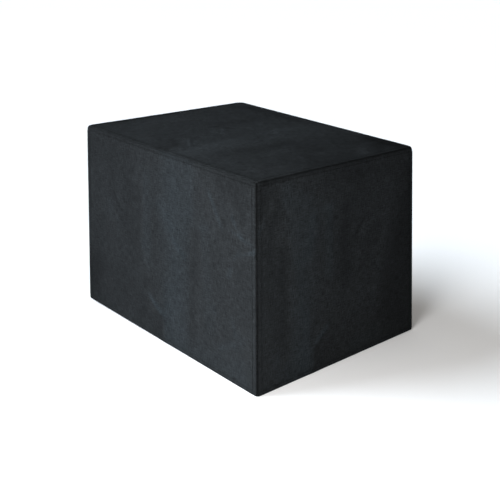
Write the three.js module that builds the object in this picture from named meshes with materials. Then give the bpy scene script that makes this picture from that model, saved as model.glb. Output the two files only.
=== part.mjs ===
// Armchair cover: a hollow box of coated cloth, open underneath, sewn from five panels.
// Millimetres, +Z up. The long front panel faces -Y and the open hem hangs down to Z = 0.
// The origin is under the middle of the cover, at the level of the hem's lowest point.

import * as THREE from 'three';

// Driving dimensions
const WIDTH = 957; // left fold to right fold, at the top
const DEPTH = 717; // front fold to back fold, at the top
const HEIGHT = 700; // hem to top
const HEM_FLARE = 27; // how far each side stands further out at the hem than at the top
const CLOTH = 2; // thickness of a panel
const SEAM_GAP = 0.3; // room between two panels where they are sewn together
const FOLD_RADIUS = 4; // rounding of the cloth over the top edges
const CORNER_RADIUS = 7; // rounding of the upright corners, seen from above
const CORNER_BLUNT = 4; // how far the very corners of the cover are drawn in
const BLUNT_REACH = 10; // distance from a corner where that has mostly faded
const SEAM_BAND = 15; // strip beside each seam where the turned-in cloth is stitched down
const HEM_BAND = 14; // height of the turned-up hem
const BAND_RISE = 0.8; // how far a doubled strip stands proud of the panel
const BAND_SLOPE = 2.5; // width over which a doubled strip falls back to the single cloth
const FINE_STEP = 34; // spacing of the mesh lines on the front, right and top panels
const COARSE_STEP = 62; // the same on the two plain panels at the back
const FOLDS_START = 55; // from a seam band, folds grow to their full height over this length
const HEM_FOLDS = 0.3; // share of a fold's height that is left at the hem
const HEM_CALM = 150; // height above the hem where folds have their full height again

const CLOTH_COLOUR = 0x33373b;
const CLOTH_ROUGHNESS = 0.82;

// How far each corner is seen off the even shape: aside to the viewer's right, and up.
// sideX and sideY are the corner's side, level is 0 at the hem and 1 at the top.
// The hem's back left corner is out of sight and stays even.
const ASIDE_WAY = THREE.MathUtils.degToRad(50); // the viewer's right, turned from X towards Y
const CORNER_PULLS = [
  { corner: 'top front right', sideX: 1, sideY: -1, level: 1, aside: 1, up: 3 },
  { corner: 'top front left', sideX: -1, sideY: -1, level: 1, aside: -9, up: 4 },
  { corner: 'top back right', sideX: 1, sideY: 1, level: 1, aside: -6, up: -7 },
  { corner: 'top back left', sideX: -1, sideY: 1, level: 1, aside: 11, up: -4 },
  { corner: 'hem front right', sideX: 1, sideY: -1, level: 0, aside: 9, up: -1 },
  { corner: 'hem front left', sideX: -1, sideY: -1, level: 0, aside: -5, up: 5 },
  { corner: 'hem back right', sideX: 1, sideY: 1, level: 0, aside: -2, up: 0 },
  { corner: 'hem back left', sideX: -1, sideY: 1, level: 0, aside: 0, up: 0 },
];

// Folds and creases of each panel, as the panel is seen from outside.
// across: from the panel's middle to the right. up: above the hem, or on the top panel from its
// middle towards the back. turn: degrees clockwise from upright. reach: half the fold's width.
// rise: above the panel, or below it where negative.
const FRONT_FOLDS = [
  { across: -190, up: 420, length: 560, turn: 2, reach: 55, rise: -4 },
  { across: -85, up: 400, length: 600, turn: -3, reach: 48, rise: 3.5 },
  { across: 43, up: 445, length: 270, turn: -31, reach: 28, rise: 4.5 },
  { across: 165, up: 300, length: 620, turn: -1, reach: 30, rise: -4 },
  { across: 230, up: 300, length: 540, turn: 0, reach: 42, rise: 2.5 },
  { across: 268, up: 574, length: 230, turn: -28, reach: 22, rise: 4 },
  { across: 405, up: 520, length: 170, turn: -57, reach: 22, rise: 5 },
  { across: -40, up: 117, length: 140, turn: -49, reach: 20, rise: 4.5 },
  { across: 12, up: 40, length: 150, turn: 0, reach: 24, rise: 2.5 },
  { across: -278, up: 458, length: 170, turn: -51, reach: 20, rise: -3.5 },
  { across: -370, up: 190, length: 420, turn: 8, reach: 65, rise: -4 },
];
const RIGHT_FOLDS = [
  { across: -305, up: 560, length: 230, turn: 26, reach: 22, rise: 4 },
  { across: -180, up: 500, length: 420, turn: 4, reach: 55, rise: 4 },
  { across: -262, up: 270, length: 500, turn: 0, reach: 26, rise: -4 },
  { across: -180, up: 190, length: 400, turn: 0, reach: 36, rise: 3 },
  { across: -8, up: 420, length: 380, turn: -2, reach: 30, rise: -4.5 },
  { across: 104, up: 465, length: 160, turn: 45, reach: 20, rise: -3.5 },
  { across: -93, up: 126, length: 140, turn: 45, reach: 20, rise: 4.5 },
  { across: -128, up: 40, length: 150, turn: 0, reach: 24, rise: 2.5 },
  { across: 195, up: 340, length: 520, turn: 10, reach: 34, rise: 3.5 },
  { across: 275, up: 300, length: 460, turn: 8, reach: 40, rise: -3.5 },
];
const TOP_FOLDS = [
  { across: 170, up: 40, length: 620, turn: 5, reach: 28, rise: -4 },
  { across: 60, up: -60, length: 640, turn: -4, reach: 45, rise: 4.5 },
  { across: -182, up: 140, length: 420, turn: 0, reach: 34, rise: -4 },
  { across: -43, up: -226, length: 170, turn: -53, reach: 20, rise: 4.5 },
  { across: 12, up: -315, length: 130, turn: 0, reach: 24, rise: 2.5 },
  { across: -120, up: -18, length: 120, turn: -40, reach: 20, rise: 3.5 },
  { across: 385, up: 110, length: 230, turn: 15, reach: 26, rise: 3.5 },
  { across: 315, up: 180, length: 320, turn: 10, reach: 36, rise: -4 },
  { across: -330, up: -60, length: 440, turn: 3, reach: 55, rise: 3 },
];
const BACK_FOLDS = [
  { across: -300, up: 360, length: 480, turn: 3, reach: 62, rise: -4 },
  { across: -90, up: 330, length: 520, turn: -2, reach: 62, rise: 4 },
  { across: 150, up: 380, length: 460, turn: 4, reach: 62, rise: -4 },
  { across: 330, up: 300, length: 400, turn: -3, reach: 62, rise: 4 },
];
const LEFT_FOLDS = [
  { across: -190, up: 340, length: 480, turn: -3, reach: 62, rise: 4 },
  { across: -20, up: 380, length: 460, turn: 2, reach: 62, rise: -4 },
  { across: 180, up: 320, length: 480, turn: 3, reach: 62, rise: 4 },
];

// A seam runs halfway round each fold and each upright corner.
const SEAM_ANGLE = Math.PI / 4;
const RIM_RADIUS = CORNER_RADIUS - FOLD_RADIUS * (1 - Math.cos(SEAM_ANGLE));
const RIM_STEPS = [0, (CORNER_RADIUS - FOLD_RADIUS) / RIM_RADIUS, 1];

const smooth = (value) => THREE.MathUtils.smoothstep(value, 0, 1);

// Height of a panel's folds at one place: each fold is a bell across its line and tapers along it.
function foldHeight(folds, across, up) {
  let height = 0;
  for (const fold of folds) {
    const turn = THREE.MathUtils.degToRad(fold.turn);
    const fromX = across - fold.across;
    const fromY = up - fold.up;
    const along = fromX * Math.sin(turn) + fromY * Math.cos(turn);
    const aside = fromX * Math.cos(turn) - fromY * Math.sin(turn);
    const taper = smooth(2 * (1 - (2 * Math.abs(along)) / fold.length));
    height += fold.rise * taper * Math.exp(-((aside / fold.reach) ** 2));
  }
  return height;
}

// The doubled strip beside a seam or hem: full height at the edge, gone past its width.
function bandHeight(fromEdge, width) {
  return BAND_RISE * (1 - smooth((fromEdge - width) / BAND_SLOPE));
}

// Pulls a point of the even box out to the flared and uneven shape, and blunts its corners.
function pullCorners(point) {
  const pulled = point.clone();
  for (const pull of CORNER_PULLS) {
    const shareX = (1 + (pull.sideX * point.x) / (WIDTH / 2)) / 2;
    const shareY = (1 + (pull.sideY * point.y) / (DEPTH / 2)) / 2;
    const shareZ = pull.level === 1 ? point.z / HEIGHT : 1 - point.z / HEIGHT;
    const flare = pull.level === 1 ? 0 : HEM_FLARE;
    const share = shareX * shareY * shareZ;
    const corner = new THREE.Vector3(
      (pull.sideX * WIDTH) / 2,
      (pull.sideY * DEPTH) / 2,
      pull.level * HEIGHT,
    );
    const nearness = Math.exp(-((point.distanceTo(corner) / BLUNT_REACH) ** 2));
    const inward = (CORNER_BLUNT / Math.sqrt(3)) * nearness;
    const pullX = pull.aside * Math.cos(ASIDE_WAY);
    const pullY = pull.aside * Math.sin(ASIDE_WAY);
    pulled.x += share * (pullX + pull.sideX * flare) - pull.sideX * inward;
    pulled.y += share * (pullY + pull.sideY * flare) - pull.sideY * inward;
    pulled.z += share * pull.up + (pull.level === 1 ? -inward : inward);
  }
  return pulled;
}

// Mesh lines from one seam to the other. Each line has its place on the straight stretch, and
// its step round the corner, from 0 at the end of the straight stretch to -1 or 1 at the seam.
function seamToSeam(size, bandFromStraight, spacing) {
  const straight = size / 2 - CORNER_RADIUS;
  const bandEdge = straight - bandFromStraight;
  const inner = bandEdge - BAND_SLOPE;
  const count = Math.round((2 * inner) / spacing);
  const lines = [];
  for (const step of RIM_STEPS.slice().reverse()) lines.push({ place: -straight, step: -step });
  lines.push({ place: -bandEdge, step: 0 });
  for (let i = 0; i <= count; i += 1) {
    lines.push({ place: -inner + (2 * inner * i) / count, step: 0 });
  }
  lines.push({ place: bandEdge, step: 0 });
  for (const step of RIM_STEPS) lines.push({ place: straight, step });
  return lines;
}

// Mesh lines from the hem up to the seam under the top fold.
function hemToSeam(spacing) {
  const bandEdge = HEIGHT - FOLD_RADIUS - (SEAM_BAND - FOLD_RADIUS * SEAM_ANGLE);
  const low = HEM_BAND + BAND_SLOPE;
  const high = bandEdge - BAND_SLOPE;
  const count = Math.round((high - low) / spacing);
  const lines = [{ up: 0, turn: 0 }, { up: HEM_BAND, turn: 0 }];
  for (let i = 0; i <= count; i += 1) lines.push({ up: low + ((high - low) * i) / count, turn: 0 });
  lines.push({ up: bandEdge, turn: 0 });
  lines.push({ up: HEIGHT - FOLD_RADIUS, turn: 0 });
  lines.push({ up: HEIGHT - FOLD_RADIUS, turn: SEAM_ANGLE });
  return lines;
}

// One closed sheet from its outer and inner points, both as rows that run left to right and
// then bottom to top as the sheet is seen from outside.
function closedSheet(outer, inner) {
  const rows = outer.length;
  const columns = outer[0].length;
  const positions = [];
  for (const points of [outer, inner]) {
    for (const row of points) for (const point of row) positions.push(point.x, point.y, point.z);
  }
  const innerStart = rows * columns;
  const at = (row, column) => row * columns + column;
  const triangles = [];
  const quad = (a, b, c, d) => triangles.push(a, b, c, a, c, d);
  for (let row = 0; row < rows - 1; row += 1) {
    for (let column = 0; column < columns - 1; column += 1) {
      const a = at(row, column);
      const b = at(row, column + 1);
      const c = at(row + 1, column + 1);
      const d = at(row + 1, column);
      quad(a, b, c, d);
      quad(innerStart + a, innerStart + d, innerStart + c, innerStart + b);
    }
  }
  const rim = [];
  for (let column = 0; column < columns - 1; column += 1) rim.push(at(0, column));
  for (let row = 0; row < rows - 1; row += 1) rim.push(at(row, columns - 1));
  for (let column = columns - 1; column > 0; column -= 1) rim.push(at(rows - 1, column));
  for (let row = rows - 1; row > 0; row -= 1) rim.push(at(row, 0));
  rim.forEach((here, i) => {
    const next = rim[(i + 1) % rim.length];
    quad(here, innerStart + here, innerStart + next, next);
  });
  const geometry = new THREE.BufferGeometry();
  geometry.setAttribute('position', new THREE.Float32BufferAttribute(positions, 3));
  geometry.setIndex(triangles);
  return geometry;
}

// Both faces of the cloth at one place of the even box, pulled to the real shape.
function clothPoints(middle, normal, seamShift, folds, band) {
  const outer = middle.clone().addScaledVector(normal, folds + band).add(seamShift);
  const inner = middle.clone().addScaledVector(normal, folds - CLOTH).add(seamShift);
  return [pullCorners(outer), pullCorners(inner)];
}

// A side panel of the given width, standing at the given distance in front of the middle, with
// its outside facing -Y before it is turned about Z.
function sidePanel(size, distance, quarterTurns, folds, spacing) {
  const turn = (quarterTurns * Math.PI) / 2;
  const upAxis = new THREE.Vector3(0, 0, 1);
  const arc = CORNER_RADIUS * SEAM_ANGLE;
  const columns = seamToSeam(size, SEAM_BAND - arc, spacing);
  const outer = [];
  const inner = [];
  for (const line of hemToSeam(spacing)) {
    const outerRow = [];
    const innerRow = [];
    const foldInset = FOLD_RADIUS * (1 - Math.cos(line.turn));
    const height = line.up + FOLD_RADIUS * Math.sin(line.turn);
    const underSeam = HEIGHT - FOLD_RADIUS - line.up + FOLD_RADIUS * (SEAM_ANGLE - line.turn);
    for (const column of columns) {
      const angle = Math.asin(column.step * Math.sin(SEAM_ANGLE));
      const radius = CORNER_RADIUS - foldInset;
      const middle = new THREE.Vector3(
        column.place + radius * Math.sin(angle),
        -(distance - CORNER_RADIUS) - radius * Math.cos(angle),
        height,
      );
      const normal = new THREE.Vector3(
        Math.sin(angle) * Math.cos(line.turn),
        -Math.cos(angle) * Math.cos(line.turn),
        Math.sin(line.turn),
      );
      const seamShift = new THREE.Vector3();
      if (Math.abs(column.step) === 1) {
        const round = new THREE.Vector3(Math.cos(angle), Math.sin(angle), 0);
        seamShift.addScaledVector(round, (-column.step * SEAM_GAP) / 2);
      }
      if (line.turn === SEAM_ANGLE) {
        const over = new THREE.Vector3(
          -Math.sin(angle) * Math.sin(line.turn),
          Math.cos(angle) * Math.sin(line.turn),
          Math.cos(line.turn),
        );
        seamShift.addScaledVector(over, -SEAM_GAP / 2);
      }
      const besideSeam = size / 2 - CORNER_RADIUS - Math.abs(column.place)
        + CORNER_RADIUS * (SEAM_ANGLE - Math.abs(angle));
      const fromSeam = Math.min(besideSeam, underSeam);
      const band = Math.max(bandHeight(fromSeam, SEAM_BAND), bandHeight(line.up, HEM_BAND));
      const calm = smooth((fromSeam - SEAM_BAND) / FOLDS_START)
        * (HEM_FOLDS + (1 - HEM_FOLDS) * smooth(line.up / HEM_CALM));
      const rise = calm * foldHeight(folds, column.place, line.up);
      for (const vector of [middle, normal, seamShift]) vector.applyAxisAngle(upAxis, turn);
      const [outside, inside] = clothPoints(middle, normal, seamShift, rise, band);
      outerRow.push(outside);
      innerRow.push(inside);
    }
    outer.push(outerRow);
    inner.push(innerRow);
  }
  return closedSheet(outer, inner);
}

// The top panel, up to the seams halfway round the folds. Its corners are rounded by carrying
// the square corner of the mesh lines onto a quarter circle.
function topPanel(folds, spacing) {
  const bandFromStraight = SEAM_BAND - FOLD_RADIUS * SEAM_ANGLE + FOLD_RADIUS - CORNER_RADIUS;
  const columns = seamToSeam(WIDTH, bandFromStraight, spacing);
  const rows = seamToSeam(DEPTH, bandFromStraight, spacing);
  const outer = [];
  const inner = [];
  for (const row of rows) {
    const outerRow = [];
    const innerRow = [];
    for (const column of columns) {
      const cornerX = column.step * Math.sqrt(1 - row.step ** 2 / 2);
      const cornerY = row.step * Math.sqrt(1 - column.step ** 2 / 2);
      const outward = Math.hypot(cornerX, cornerY);
      const straightX = WIDTH / 2 - CORNER_RADIUS - Math.abs(column.place);
      const straightY = DEPTH / 2 - CORNER_RADIUS - Math.abs(row.place);
      const inset = CORNER_RADIUS - RIM_RADIUS * outward + Math.min(straightX, straightY);
      const tilt = Math.max(0, 1 - inset / FOLD_RADIUS);
      const upright = Math.sqrt(1 - tilt ** 2);
      const drop = FOLD_RADIUS * (1 - upright);
      const middle = new THREE.Vector3(
        column.place + RIM_RADIUS * cornerX,
        row.place + RIM_RADIUS * cornerY,
        HEIGHT - drop,
      );
      const normal = new THREE.Vector3(0, 0, 1);
      const seamShift = new THREE.Vector3();
      if (tilt > 0) {
        const outX = cornerX / outward;
        const outY = cornerY / outward;
        normal.set(outX * tilt, outY * tilt, upright);
        seamShift.set(-outX * upright, -outY * upright, tilt).multiplyScalar(SEAM_GAP / 2);
      }
      const fromSeam = inset - FOLD_RADIUS + FOLD_RADIUS * SEAM_ANGLE;
      const band = bandHeight(fromSeam, SEAM_BAND);
      const calm = smooth((fromSeam - SEAM_BAND) / FOLDS_START);
      const rise = calm * foldHeight(folds, middle.x, middle.y);
      const [outside, inside] = clothPoints(middle, normal, seamShift, rise, band);
      outerRow.push(outside);
      innerRow.push(inside);
    }
    outer.push(outerRow);
    inner.push(innerRow);
  }
  return closedSheet(outer, inner);
}

// A named mesh with its own cloth. Its own origin is at the given seat, turned by quarter turns.
function clothMesh(name, geometry, seat, quarterTurns) {
  const material = new THREE.MeshStandardMaterial({
    color: CLOTH_COLOUR,
    roughness: CLOTH_ROUGHNESS,
    metalness: 0,
  });
  const mesh = new THREE.Mesh(geometry, material);
  mesh.name = name;
  mesh.position.copy(seat);
  mesh.rotation.z = (quarterTurns * Math.PI) / 2;
  mesh.updateMatrix();
  geometry.applyMatrix4(mesh.matrix.clone().invert());
  geometry.computeVertexNormals();
  return mesh;
}

const cover = new THREE.Group();
cover.name = 'armchair_cover';

const SIDES = [
  { name: 'front_panel', size: WIDTH, distance: DEPTH / 2, quarterTurns: 0,
    folds: FRONT_FOLDS, spacing: FINE_STEP },
  { name: 'right_panel', size: DEPTH, distance: WIDTH / 2, quarterTurns: 1,
    folds: RIGHT_FOLDS, spacing: FINE_STEP },
  { name: 'back_panel', size: WIDTH, distance: DEPTH / 2, quarterTurns: 2,
    folds: BACK_FOLDS, spacing: COARSE_STEP },
  { name: 'left_panel', size: DEPTH, distance: WIDTH / 2, quarterTurns: 3,
    folds: LEFT_FOLDS, spacing: COARSE_STEP },
];
for (const side of SIDES) {
  const { size, distance, quarterTurns, folds, spacing } = side;
  const geometry = sidePanel(size, distance, quarterTurns, folds, spacing);
  const seat = new THREE.Vector3(0, -distance, 0);
  seat.applyAxisAngle(new THREE.Vector3(0, 0, 1), (quarterTurns * Math.PI) / 2);
  cover.add(clothMesh(side.name, geometry, seat, quarterTurns));
}
const topSeat = new THREE.Vector3(0, 0, HEIGHT);
cover.add(clothMesh('top_panel', topPanel(TOP_FOLDS, FINE_STEP), topSeat, 0));

// The whole cover is set with the middle of its outline over the origin and its hem at Z = 0.
cover.updateMatrixWorld(true);
const outline = new THREE.Box3().setFromObject(cover, true);
const centre = outline.getCenter(new THREE.Vector3());
cover.position.set(-centre.x, -centre.y, -outline.min.z);

export default cover;
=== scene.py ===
"""Armchair cover: a hollow box of charcoal cloth that drops over an armchair.

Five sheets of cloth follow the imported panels. Each has its folds and creases, strips turned in
along its seams, and rows of stitches. The four sides end in a turned-up hem. A pale floor, soft
lights and a camera make the stage. Everything is in metres. Tables are in millimetres and are
scaled where they are read.
"""

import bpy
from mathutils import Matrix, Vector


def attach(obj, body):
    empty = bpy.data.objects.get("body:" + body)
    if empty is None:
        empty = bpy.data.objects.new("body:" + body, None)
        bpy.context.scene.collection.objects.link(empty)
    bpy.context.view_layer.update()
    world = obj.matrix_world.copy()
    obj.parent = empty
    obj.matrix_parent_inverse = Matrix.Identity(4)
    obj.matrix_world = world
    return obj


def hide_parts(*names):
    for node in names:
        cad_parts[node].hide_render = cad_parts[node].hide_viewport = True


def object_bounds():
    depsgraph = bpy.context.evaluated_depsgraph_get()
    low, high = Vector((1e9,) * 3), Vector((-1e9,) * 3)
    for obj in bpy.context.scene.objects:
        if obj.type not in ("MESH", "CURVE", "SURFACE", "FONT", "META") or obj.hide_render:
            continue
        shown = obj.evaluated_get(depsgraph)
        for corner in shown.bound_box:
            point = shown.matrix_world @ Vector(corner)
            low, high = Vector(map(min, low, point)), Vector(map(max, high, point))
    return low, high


bl_info = {
    "name": "Armchair Cover",
    "version": (1, 0, 0),
    "blender": (4, 5, 0),
    "location": "View3D > Sidebar > Cover",
    "description": "Sews a box-shaped cloth cover for an armchair and sets it on a studio floor",
    "category": "Add Mesh",
}

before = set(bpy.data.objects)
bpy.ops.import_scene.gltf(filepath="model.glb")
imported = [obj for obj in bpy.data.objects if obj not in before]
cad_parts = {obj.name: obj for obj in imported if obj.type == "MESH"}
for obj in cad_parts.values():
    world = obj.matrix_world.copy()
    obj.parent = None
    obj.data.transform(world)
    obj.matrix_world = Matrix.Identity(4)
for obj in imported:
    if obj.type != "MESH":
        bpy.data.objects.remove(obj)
CAD_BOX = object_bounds()

import math
from collections import namedtuple
from functools import cache

import bpy
import numpy as np
from mathutils import Vector

MM = 0.001
BODY = "root"

# The even box that the cover is pulled from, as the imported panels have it
WIDTH = 957 * MM
DEPTH = 717 * MM
HEIGHT = 700 * MM
HEM_FLARE = 27 * MM
FOLD_RADIUS = 4 * MM
CORNER_RADIUS = 7 * MM
TOP_CORNER_BLUNT = 4 * MM
HEM_CORNER_BLUNT = 1.5 * MM
BLUNT_REACH = 10 * MM

# A seam runs halfway round each fold and each upright corner. From the end of a straight stretch
# to the seam, the cloth covers an arc on a side panel and a rim on the top panel.
SEAM_GAP = 0.1 * MM
SEAM_ANGLE = math.pi / 4
FOLD_ARC = FOLD_RADIUS * SEAM_ANGLE
CORNER_ARC = CORNER_RADIUS * SEAM_ANGLE
TOP_RIM = CORNER_RADIUS - FOLD_RADIUS + FOLD_ARC

# How folds calm down towards the seams and the hem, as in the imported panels
PACKED_BAND = 15 * MM
FOLDS_START = 55 * MM
HEM_FOLDS = 0.3
HEM_CALM = 150 * MM

# How far each corner is seen off the even box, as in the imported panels: the corner's side along
# x and y, its level, then how far aside to the viewer's right, and up
ASIDE_WAY = math.radians(50)
CORNER_PULLS = (
    (1, -1, 1, 1, 3),
    (-1, -1, 1, -9, 4),
    (1, 1, 1, -6, -7),
    (-1, 1, 1, 11, -4),
    (1, -1, 0, 9, -1),
    (-1, -1, 0, -5, 5),
    (1, 1, 0, -2, 0),
    (-1, 1, 0, 0, 0),
)

# Folds and creases as each panel is seen from outside.
# across: from the panel's middle to the right. up: above the hem, or on the top panel from its
# middle towards the back. length, and turn in degrees clockwise from upright. reach: how far the
# fold reaches to both sides, or to the left and to the right. rise: above the cloth, or below it
# where negative.
FRONT_FOLDS = (
    (-190, 420, 560, 2, 55, -4),
    (-85, 400, 600, -3, 48, 3.5),
    (43, 445, 270, -31, 28, 4.5),
    (165, 300, 620, -1, 30, -4),
    (230, 300, 540, 0, 42, 2.5),
    (268, 574, 230, -28, 22, 4),
    (405, 520, 170, -57, 22, 5),
    (-40, 117, 140, -49, 20, 4.5),
    (12, 40, 150, 0, 24, 2.5),
    (-278, 458, 170, -51, 20, -3.5),
    (-370, 190, 420, 8, 65, -4),
)
RIGHT_FOLDS = (
    (-305, 560, 230, 26, 22, 4),
    (-180, 500, 420, 4, 55, 4),
    (-262, 270, 500, 0, 26, -4),
    (-180, 190, 400, 0, 36, 3),
    (-8, 420, 380, -2, 30, -4.5),
    (104, 465, 160, 45, 20, -3.5),
    (-93, 126, 140, 45, 20, 4.5),
    (-128, 40, 150, 0, 24, 2.5),
    (195, 340, 520, 10, 34, 3.5),
    (275, 300, 460, 8, 40, -3.5),
)
TOP_FOLDS = (
    (170, 40, 620, 5, 28, -4),
    (60, -60, 640, -4, 45, 4.5),
    (-182, 140, 420, 0, 34, -4),
    (-43, -226, 170, -53, 20, 4.5),
    (12, -315, 130, 0, 24, 2.5),
    (-120, -18, 120, -40, 20, 3.5),
    (385, 110, 230, 15, 26, 3.5),
    (315, 180, 320, 10, 36, -4),
    (-330, -60, 440, 3, 55, 3),
)
BACK_FOLDS = (
    (-300, 360, 480, 3, 62, -4),
    (-90, 330, 520, -2, 62, 4),
    (150, 380, 460, 4, 62, -4),
    (330, 300, 400, -3, 62, 4),
)
LEFT_FOLDS = (
    (-190, 340, 480, -3, 62, 4),
    (-20, 380, 460, 2, 62, -4),
    (180, 320, 480, 3, 62, 4),
)

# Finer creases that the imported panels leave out, in the same columns
FRONT_CREASES = (
    (288, 569, 170, -29, (5, 9), 1.3),
    (-30, 119, 80, -52, (5, 8), 1.2),
    (4, 48, 110, 0, (3, 14), 1.4),
    (-281, 457, 90, -38, (7, 9), -0.9),
    (415, 525, 90, -52, 8, 1.2),
    (25, 472, 110, -27, (8, 12), 0.9),
    (106, 380, 90, -52, (7, 10), 0.8),
    (-65, 270, 120, 4, 6, -0.5),
    (120, 640, 60, 30, (12, 16), 0.8),
    (372, 380, 60, 20, 9, 0.7),
    (405, 180, 110, -12, 8, 0.6),
    (-335, 210, 150, 38, 10, 0.5),
)
RIGHT_CREASES = (
    (-325, 585, 150, 18, (9, 5), 1.3),
    (-92, 126, 80, 45, (8, 5), 1.2),
    (-118, 45, 110, 0, (14, 3), 1.4),
    (106, 462, 80, 40, (9, 7), -1.2),
    (-150, 480, 110, 24, (12, 8), 0.9),
    (-215, 390, 90, 48, (10, 7), 0.8),
    (210, 350, 380, 12, (10, 12), 0.8),
    (-235, 640, 60, -30, (16, 12), 0.8),
    (60, 370, 90, -5, 8, 0.6),
    (0, 165, 90, 40, 10, 0.5),
)
TOP_CREASES = (
    (-26, -224, 100, -52, (5, 8), 0.15),
    (8, -300, 100, 0, (3, 14), 1.4),
    (26, 100, 130, -24, (6, 9), 1.1),
    (112, 12, 90, -34, (7, 9), 0.9),
    (-98, -28, 50, -46, (6, 8), 0.7),
    (-395, -28, 50, 10, 9, 0.8),
    (390, 150, 110, -22, (8, 12), 1.0),
    (-205, 30, 160, -14, 9, 0.5),
)
BACK_CREASES = (
    (-240, 480, 150, 30, (7, 10), 1.1),
    (60, 210, 130, -38, 8, -1.0),
    (250, 520, 120, 22, (9, 6), 1.0),
    (-380, 160, 110, -28, 8, 0.9),
    (395, 150, 100, 34, (7, 9), 1.0),
)
LEFT_CREASES = (
    (-230, 500, 130, -28, (8, 10), 1.1),
    (70, 200, 120, 36, 8, -1.0),
    (270, 560, 110, 24, (7, 9), 1.0),
    (-120, 120, 120, -40, 8, 0.9),
)

# Painted light and shade: soft lighter and darker places, and lit and shaded streaks along the
# folds and creases, in the same columns, where the last one is by how many percent the cloth is
# painted lighter or darker
FRONT_PAINTED_LIGHT_AND_SHADE = (
    (75, 350, 1400, -3, 70, 23),
    (440, 640, 420, 20, 90, -24),
    (340, 655, 150, 90, 40, -14),
    (310, 662, 340, 90, 24, -11),
    (-180, 662, 560, 90, 20, -6),
    (-400, 640, 300, 90, 60, -12),
    (-450, 60, 420, 10, 110, -32),
    (-430, 330, 900, 0, (70, 90), -9),
    (-250, 60, 260, 90, 90, -12),
    (-230, 400, 900, 0, (90, 70), -12),
    (-110, 145, 220, 10, 42, -21),
    (-318, 418, 120, -10, 34, 14),
    (-310, 578, 150, 0, 36, -8),
    (55, 560, 180, 0, 60, 5),
    (200, 655, 90, 90, (40, 26), 8),
    (405, 275, 160, 0, 40, -7),
    (400, 50, 140, 0, 50, 6),
    (300, 340, 260, 0, 40, -8),
    (300, 40, 360, 90, 45, 10),
    (15, 170, 150, 10, 26, 8),
    (-143, 400, 380, 3, (48, 18), -20),
    (-97, 435, 440, 0, (24, 38), 14),
    (-46, 390, 260, 0, 14, -8),
    (12, 475, 170, -43, (28, 30), 18),
    (90, 384, 115, -52, (9, 12), 26),
    (150, 600, 300, 0, (28, 22), 15),
    (125, 470, 160, 0, 20, 7),
    (182, 380, 260, 0, (20, 22), -20),
    (160, 215, 400, 0, 18, -16),
    (240, 330, 520, -5, (28, 30), 9),
    (286, 568, 180, -31, (7, 9), 34),
    (390, 540, 110, -40, (8, 11), 36),
    (408, 510, 150, -77, (9, 11), 38),
    (434, 560, 110, 14, 12, 20),
    (364, 576, 110, -26, 10, 18),
    (434, 464, 120, 66, 8, 28),
    (468, 482, 60, 60, 12, 16),
    (388, 450, 90, 36, 7, 22),
    (415, 400, 160, 10, 45, -16),
    (352, 378, 60, 20, 11, 28),
    (448, 280, 150, 0, 20, -12),
    (-44, 132, 150, -57, (8, 11), 46),
    (14, 60, 240, 0, (8, 50), 16),
    (-12, 44, 150, 0, (75, 9), -28),
    (-134, 38, 90, 0, 26, -22),
    (-116, 178, 80, -30, 14, 10),
    (-158, 160, 80, 0, 18, -8),
    (40, 190, 140, 0, 35, 8),
    (-302, 520, 170, -5, (12, 14), -12),
    (-287, 462, 95, -38, (6, 7), -20),
    (-255, 460, 100, -48, (12, 10), 14),
    (-262, 520, 110, 0, 26, 7),
    (-270, 362, 90, 0, (18, 14), 18),
    (-236, 282, 60, 30, 14, 14),
    (-204, 278, 80, 80, 14, 10),
    (-300, 190, 260, -30, 50, -6),
    (-350, 330, 160, -30, 26, -10),
    (-166, 566, 70, 75, 14, 12),
    (-392, 564, 70, -30, 18, 8),
    (-116, 338, 60, 0, 16, 12),
    (-130, 560, 160, 0, 14, -8),
    (335, 118, 120, 60, 13, 17),
    (395, 150, 90, 30, 20, 13),
    (372, 196, 90, -15, 8, 18),
    (207, 486, 120, 76, 9, 12),
    (278, 228, 50, 0, 14, 8),
)
RIGHT_PAINTED_LIGHT_AND_SHADE = (
    (80, 500, 560, 0, 120, -15),
    (110, 230, 180, 0, 60, 6),
    (-190, 50, 300, 90, 60, 13),
    (120, 45, 220, 90, 40, 13),
    (-180, 480, 560, 4, 70, 16),
    (-185, 140, 520, 0, 60, 16),
    (60, 662, 700, 90, 34, -16),
    (-325, 655, 240, 0, (60, 50), -33),
    (-240, 640, 110, 0, 30, 14),
    (330, 380, 900, 5, 90, -32),
    (345, 450, 500, 0, (25, 30), -14),
    (300, 440, 300, 5, 36, -10),
    (260, 260, 460, 5, 60, -8),
    (-325, 582, 140, 31, 9, 30),
    (-312, 390, 320, 0, (32, 28), -15),
    (200, 190, 320, 0, 40, -8),
    (-292, 575, 130, 25, 14, -8),
    (-318, 505, 130, 10, (26, 22), -14),
    (-262, 552, 60, 0, 20, -10),
    (-249, 285, 520, 0, (18, 24), -34),
    (-252, 395, 210, 0, (16, 20), -10),
    (-205, 330, 170, 0, 25, -12),
    (-190, 390, 90, 0, 16, 10),
    (-135, 480, 220, 15, 25, 20),
    (-43, 450, 330, 0, (28, 18), 26),
    (17, 425, 400, 0, (17, 30), -26),
    (-150, 110, 360, 0, (30, 11), 22),
    (-87, 131, 100, 50, (11, 8), 40),
    (-112, 48, 180, 0, (10, 60), -18),
    (-268, 112, 80, 0, 16, 12),
    (87, 460, 90, 40, 6, -26),
    (112, 458, 100, 50, (8, 12), 12),
    (58, 462, 80, 30, (12, 10), 8),
    (78, 365, 110, 0, 14, 12),
    (165, 420, 110, 0, 22, -16),
    (205, 425, 340, 22, 20, 8),
    (160, 200, 200, 10, 18, 6),
    (-60, 564, 60, 90, 9, 16),
    (-4, 568, 60, 90, 9, 12),
    (129, 180, 60, 0, 20, -10),
    (90, 88, 120, 90, 18, -8),
)
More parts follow.
